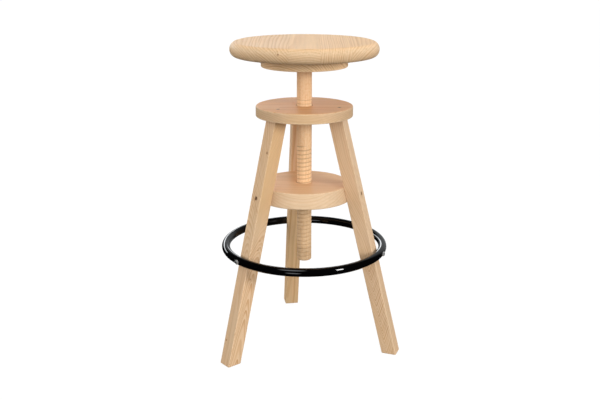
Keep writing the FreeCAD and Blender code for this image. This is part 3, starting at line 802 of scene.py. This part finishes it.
def make_spindle():
    cols = 60
    stops = [-5.0, -4.0, -3.0, -2.3, -1.9, -1.65, -1.4, -1.1, -0.8, -0.5, -0.25, 0.0,
             0.25, 0.5, 0.8, 1.1, 1.4, 1.65, 1.9, 2.3, 3.0, 4.0]
    k = len(stops)
    first = math.floor(SPINDLE_Z0 / PITCH) - 2
    last = math.ceil(SPINDLE_Z1 / PITCH) + 2
    rows = (last - first) * k

    def point(z, j):
        th = 2 * math.pi * j / cols
        w = (z - PITCH * j / cols) % PITCH
        w = w if w <= PITCH / 2 else w - PITCH
        r = thread_radius(w, z)
        r = min(r, SPINDLE_R - 2.0 + (z - SPINDLE_Z0))
        return (r * math.cos(th), r * math.sin(th), z)

    verts, index = [], {}
    bottom, top = [], []
    for j in range(cols):
        bottom.append(len(verts))
        verts.append(point(SPINDLE_Z0, j))
        top.append(len(verts))
        verts.append(point(SPINDLE_Z1, j))
    for i in range(rows):
        for j in range(cols):
            z = (first + i // k) * PITCH + stops[i % k] + PITCH * j / cols
            if z <= SPINDLE_Z0 + 0.02:
                index[i, j] = bottom[j]
            elif z >= SPINDLE_Z1 - 0.02:
                index[i, j] = top[j]
            else:
                index[i, j] = len(verts)
                verts.append(point(z, j))
    faces = []
    for i in range(rows - 1):
        for j in range(cols):
            if j + 1 < cols:
                quad = (index[i, j], index[i, j + 1], index[i + 1, j + 1], index[i + 1, j])
            else:
                if i + k + 1 >= rows:
                    quad = (index[i, j], top[0], top[0], index[i + 1, j])
                else:
                    quad = (index[i, j], index[i + k, 0], index[i + k + 1, 0], index[i + 1, j])
            f = []
            for v in quad:
                if v not in f:
                    f.append(v)
            if len(f) >= 3:
                faces.append(f)
    # lower end: flat face with a turning centre
    rings = [bottom]
    for r, z in ((8.0, SPINDLE_Z0), (2.0, SPINDLE_Z0)):
        ring = []
        for j in range(cols):
            th = 2 * math.pi * j / cols
            ring.append(len(verts))
            verts.append((r * math.cos(th), r * math.sin(th), z))
        rings.append(ring)
    tip = len(verts)
    verts.append((0, 0, SPINDLE_Z0 + 2.0))
    for a, b in zip(rings[:-1], rings[1:]):
        for j in range(cols):
            q = (j + 1) % cols
            faces.append((a[j], b[j], b[q], a[q]))
    for j in range(cols):
        faces.append((rings[-1][j], tip, rings[-1][(j + 1) % cols]))
    # upper end: shoulder and tenon
    rings = [top]
    for r, z in ((TENON_R, SPINDLE_Z1), (TENON_R, SPINDLE_TOP - 1.0), (TENON_R - 1.0, SPINDLE_TOP), (3.4, SPINDLE_TOP), (3.4, 663.7)):
        ring = []
        for j in range(cols):
            th = 2 * math.pi * j / cols
            ring.append(len(verts))
            verts.append((r * math.cos(th), r * math.sin(th), z))
        rings.append(ring)
    end = len(verts)
    verts.append((0, 0, 663.7))
    for a, b in zip(rings[:-1], rings[1:]):
        for j in range(cols):
            q = (j + 1) % cols
            faces.append((a[j], a[q], b[q], b[j]))
    for j in range(cols):
        faces.append((rings[-1][j], rings[-1][(j + 1) % cols], end))
    return piece("spindle_turned", verts, faces, mat_spindle, "seat", ("spindle",), 40.0)


make_spindle()


# ------------------------------------------------------------------ carried-over nodes
def dress(node, mat):
    ob = nodes[node]
    for slot in ob.material_slots:
        slot.material = mat


dress("guide_disc", mat_guide)
dress("nut_disc", mat_nut)
dress("seat_plate", mat_plate)
for i in range(5):
    dress("seat_stave_%d" % (i + 1), stave_mats[i])
dress("footrest_ring", mat_ring)
for n in ("leg_screws", "guide_disc_screws", "plate_screws"):
    dress(n, mat_dark)
for n in ("ring_screws", "spindle_screw"):
    dress(n, mat_bright)


# ------------------------------------------------------------------ stage
def make_floor():
    me = bpy.data.meshes.new("floor")
    s = 30.0
    me.from_pydata([(-s, -s, 0), (s, -s, 0), (s, s, 0), (-s, s, 0)], [], [(0, 1, 2, 3)])
    ob = bpy.data.objects.new("floor", me)
    scene.collection.objects.link(ob)
    g = Graph("pale_floor")
    o = g.tex.outputs["Object"]
    n = g.noise(o, 2.0, 0.5, 6.0)
    g.set("Base Color", g.mix(n, (0.095, 0.095, 0.095, 1), (0.105, 0.105, 0.105, 1)))
    g.set("Roughness", 0.9)
    g.set("Specular IOR Level", 0.0)
    g.set("Emission Color", (1, 1, 1, 1))
    g.set("Emission Strength", 0.93)
    me.materials.append(g.mat)
    ob.visible_glossy = False
    ob.visible_diffuse = False


make_floor()


def toward(az, el):
    a, e = math.radians(az), math.radians(el)
    return Vector((math.cos(a) * math.cos(e), math.sin(a) * math.cos(e), math.sin(e)))


class Sky:
    """The studio's surround: pale walls, brightest low down, for soft light, and
    a darker one with a few bright panels for reflections."""

    def __init__(self):
        world = bpy.data.worlds.new("studio")
        scene.world = world
        world.use_nodes = True
        self.nt = world.node_tree
        self.nt.nodes.clear()
        self.out = self.nt.nodes.new("ShaderNodeOutputWorld")
        self.path = self.nt.nodes.new("ShaderNodeLightPath")
        self.dir = self.nt.nodes.new("ShaderNodeTexCoord").outputs["Generated"]

    def put(self, socket, value):
        if isinstance(value, bpy.types.NodeSocket):
            self.nt.links.new(value, socket)
        else:
            socket.default_value = value

    def math(self, op, a, b=None):
        n = self.nt.nodes.new("ShaderNodeMath")
        n.operation = op
        self.put(n.inputs[0], a)
        if b is not None:
            self.put(n.inputs[1], b)
        return n.outputs[0]

    def facing(self, d):
        n = self.nt.nodes.new("ShaderNodeVectorMath")
        n.operation = "DOT_PRODUCT"
        self.put(n.inputs[0], self.dir)
        n.inputs[1].default_value = tuple(d)
        return n.outputs["Value"]

    def step(self, v, a, b, lo, hi):
        n = self.nt.nodes.new("ShaderNodeMapRange")
        n.interpolation_type = "SMOOTHSTEP"
        for s, x in zip(("Value", "From Min", "From Max", "To Min", "To Max"), (v, a, b, lo, hi)):
            self.put(n.inputs[s], x)
        return n.outputs[0]

    def panel(self, az, el, inner, outer, level):
        """A round bright patch of the surround, with a soft edge, in degrees."""
        return self.step(self.facing(toward(az, el)), math.cos(math.radians(outer)),
                         math.cos(math.radians(inner)), 0.0, level)

    def quarter(self, az, up):
        """The share of one of four walls, fading into its neighbours."""
        f = self.math("MAXIMUM", self.facing(toward(az, 0.0)), 0.0)
        return self.math("DIVIDE", self.math("MULTIPLY", f, f), self.math("SUBTRACT", 1.0001, self.math("MULTIPLY", up, up)))

    def strip(self, up, az, half, el0, el1, soft, level):
        """A bright band between two heights, half degrees to each side."""
        f = self.math("DIVIDE", self.facing(toward(az, 0.0)),
                      self.math("SQRT", self.math("SUBTRACT", 1.0001, self.math("MULTIPLY", up, up))))
        wide = self.step(f, math.cos(math.radians(half + soft)), math.cos(math.radians(half)), 0.0, level)
        s = [math.sin(math.radians(v)) for v in (el0 - soft, el0, el1, el1 + soft)]
        band = self.math("MULTIPLY", self.step(up, s[0], s[1], 0.0, 1.0), self.step(up, s[2], s[3], 1.0, 0.0))
        return self.math("MULTIPLY", wide, band)

    def sum(self, *parts):
        total = parts[0]
        for part in parts[1:]:
            total = self.math("ADD", total, part)
        return total

    def background(self, colour, strength):
        n = self.nt.nodes.new("ShaderNodeBackground")
        n.inputs["Color"].default_value = colour
        self.put(n.inputs["Strength"], strength)
        return n.outputs[0]

    def mix(self, fac, a, b):
        n = self.nt.nodes.new("ShaderNodeMixShader")
        self.put(n.inputs[0], fac)
        self.put(n.inputs[1], a)
        self.put(n.inputs[2], b)
        return n.outputs[0]


sky = Sky()
up = sky.facing((0, 0, 1))
above = sky.step(up, -0.03, 0.03, 0.0, 1.0)
high = sky.step(up, 0.60, 0.85, 0.0, 1.0)
wall = sky.math("MULTIPLY", above, sky.math("SUBTRACT", 1.0, high))
sides = sky.sum(*(sky.math("MULTIPLY", sky.quarter(az, up), level)
                  for az, level in ((-99.08, 1.04), (-9.08, 0.04), (80.92, 1.30), (170.92, 0.93))))
foot = sky.math("MULTIPLY", above, sky.step(up, 0.26, 0.36, 1.58, 0.0))
dome = sky.sum(sky.math("MULTIPLY", wall, sides), foot, sky.math("MULTIPLY", high, 0.79),
               sky.step(up, -0.03, 0.03, 0.14, 0.0))
shine = sky.sum(sky.step(up, -0.10, 0.10, 0.003, 0.006),
                sky.panel(68.0, 14.0, 18.0, 44.0, 0.44),
                sky.strip(up, 104.0, 24.0, 10.0, 15.5, 2.0, 4.6),
                sky.panel(-126.0, 64.0, 9.0, 15.0, 3.2),
                sky.panel(-114.0, -7.0, 7.0, 12.0, 3.0))
lit = sky.mix(sky.path.outputs["Is Glossy Ray"],
              sky.background((1.0, 1.0, 1.0, 1), dome), sky.background((0.94, 0.97, 1.0, 1), shine))
lit = sky.mix(sky.path.outputs["Is Camera Ray"], lit, sky.background((1, 1, 1, 1), 1.0))
sky.nt.links.new(lit, sky.out.inputs["Surface"])


def softbox(name, az, el, dist, size, radiance, colour=(1, 1, 1), aim=(0, 0, 0.45), glossy=True):
    """A rectangular light seen from the stool at an azimuth and elevation."""
    d = toward(az, el)
    light = bpy.data.lights.new(name, "AREA")
    light.shape = "RECTANGLE"
    light.size, light.size_y = size
    light.energy = radiance * math.pi * size[0] * size[1]
    light.color = colour
    ob = bpy.data.objects.new(name, light)
    ob.location = Vector(aim) + d * dist
    ob.rotation_euler = (-d).to_track_quat("-Z", "Y").to_euler()
    ob.visible_glossy = glossy
    ob.visible_camera = False
    scene.collection.objects.link(ob)
    return ob


softbox("key", -51.0, 18.0, 3.0, (0.46, 0.80), 33.0)

# ------------------------------------------------------------------ camera
cam = bpy.data.cameras.new("camera")
cam.lens = 50.0
cam.sensor_width = 36.0
cam.sensor_fit = "HORIZONTAL"
cam.clip_start = 0.05
cam.clip_end = 100.0
cam_ob = bpy.data.objects.new("camera", cam)
cam_ob.location = (-0.32025, -1.93806, 0.96412)
cam_ob.rotation_euler = (math.radians(73.141), 0.0, math.radians(-9.080))
scene.collection.objects.link(cam_ob)
scene.camera = cam_ob

scene.view_settings.view_transform = "Standard"
scene.view_settings.look = "None"
scene.view_settings.exposure = 0.0
scene.view_settings.gamma = 1.0
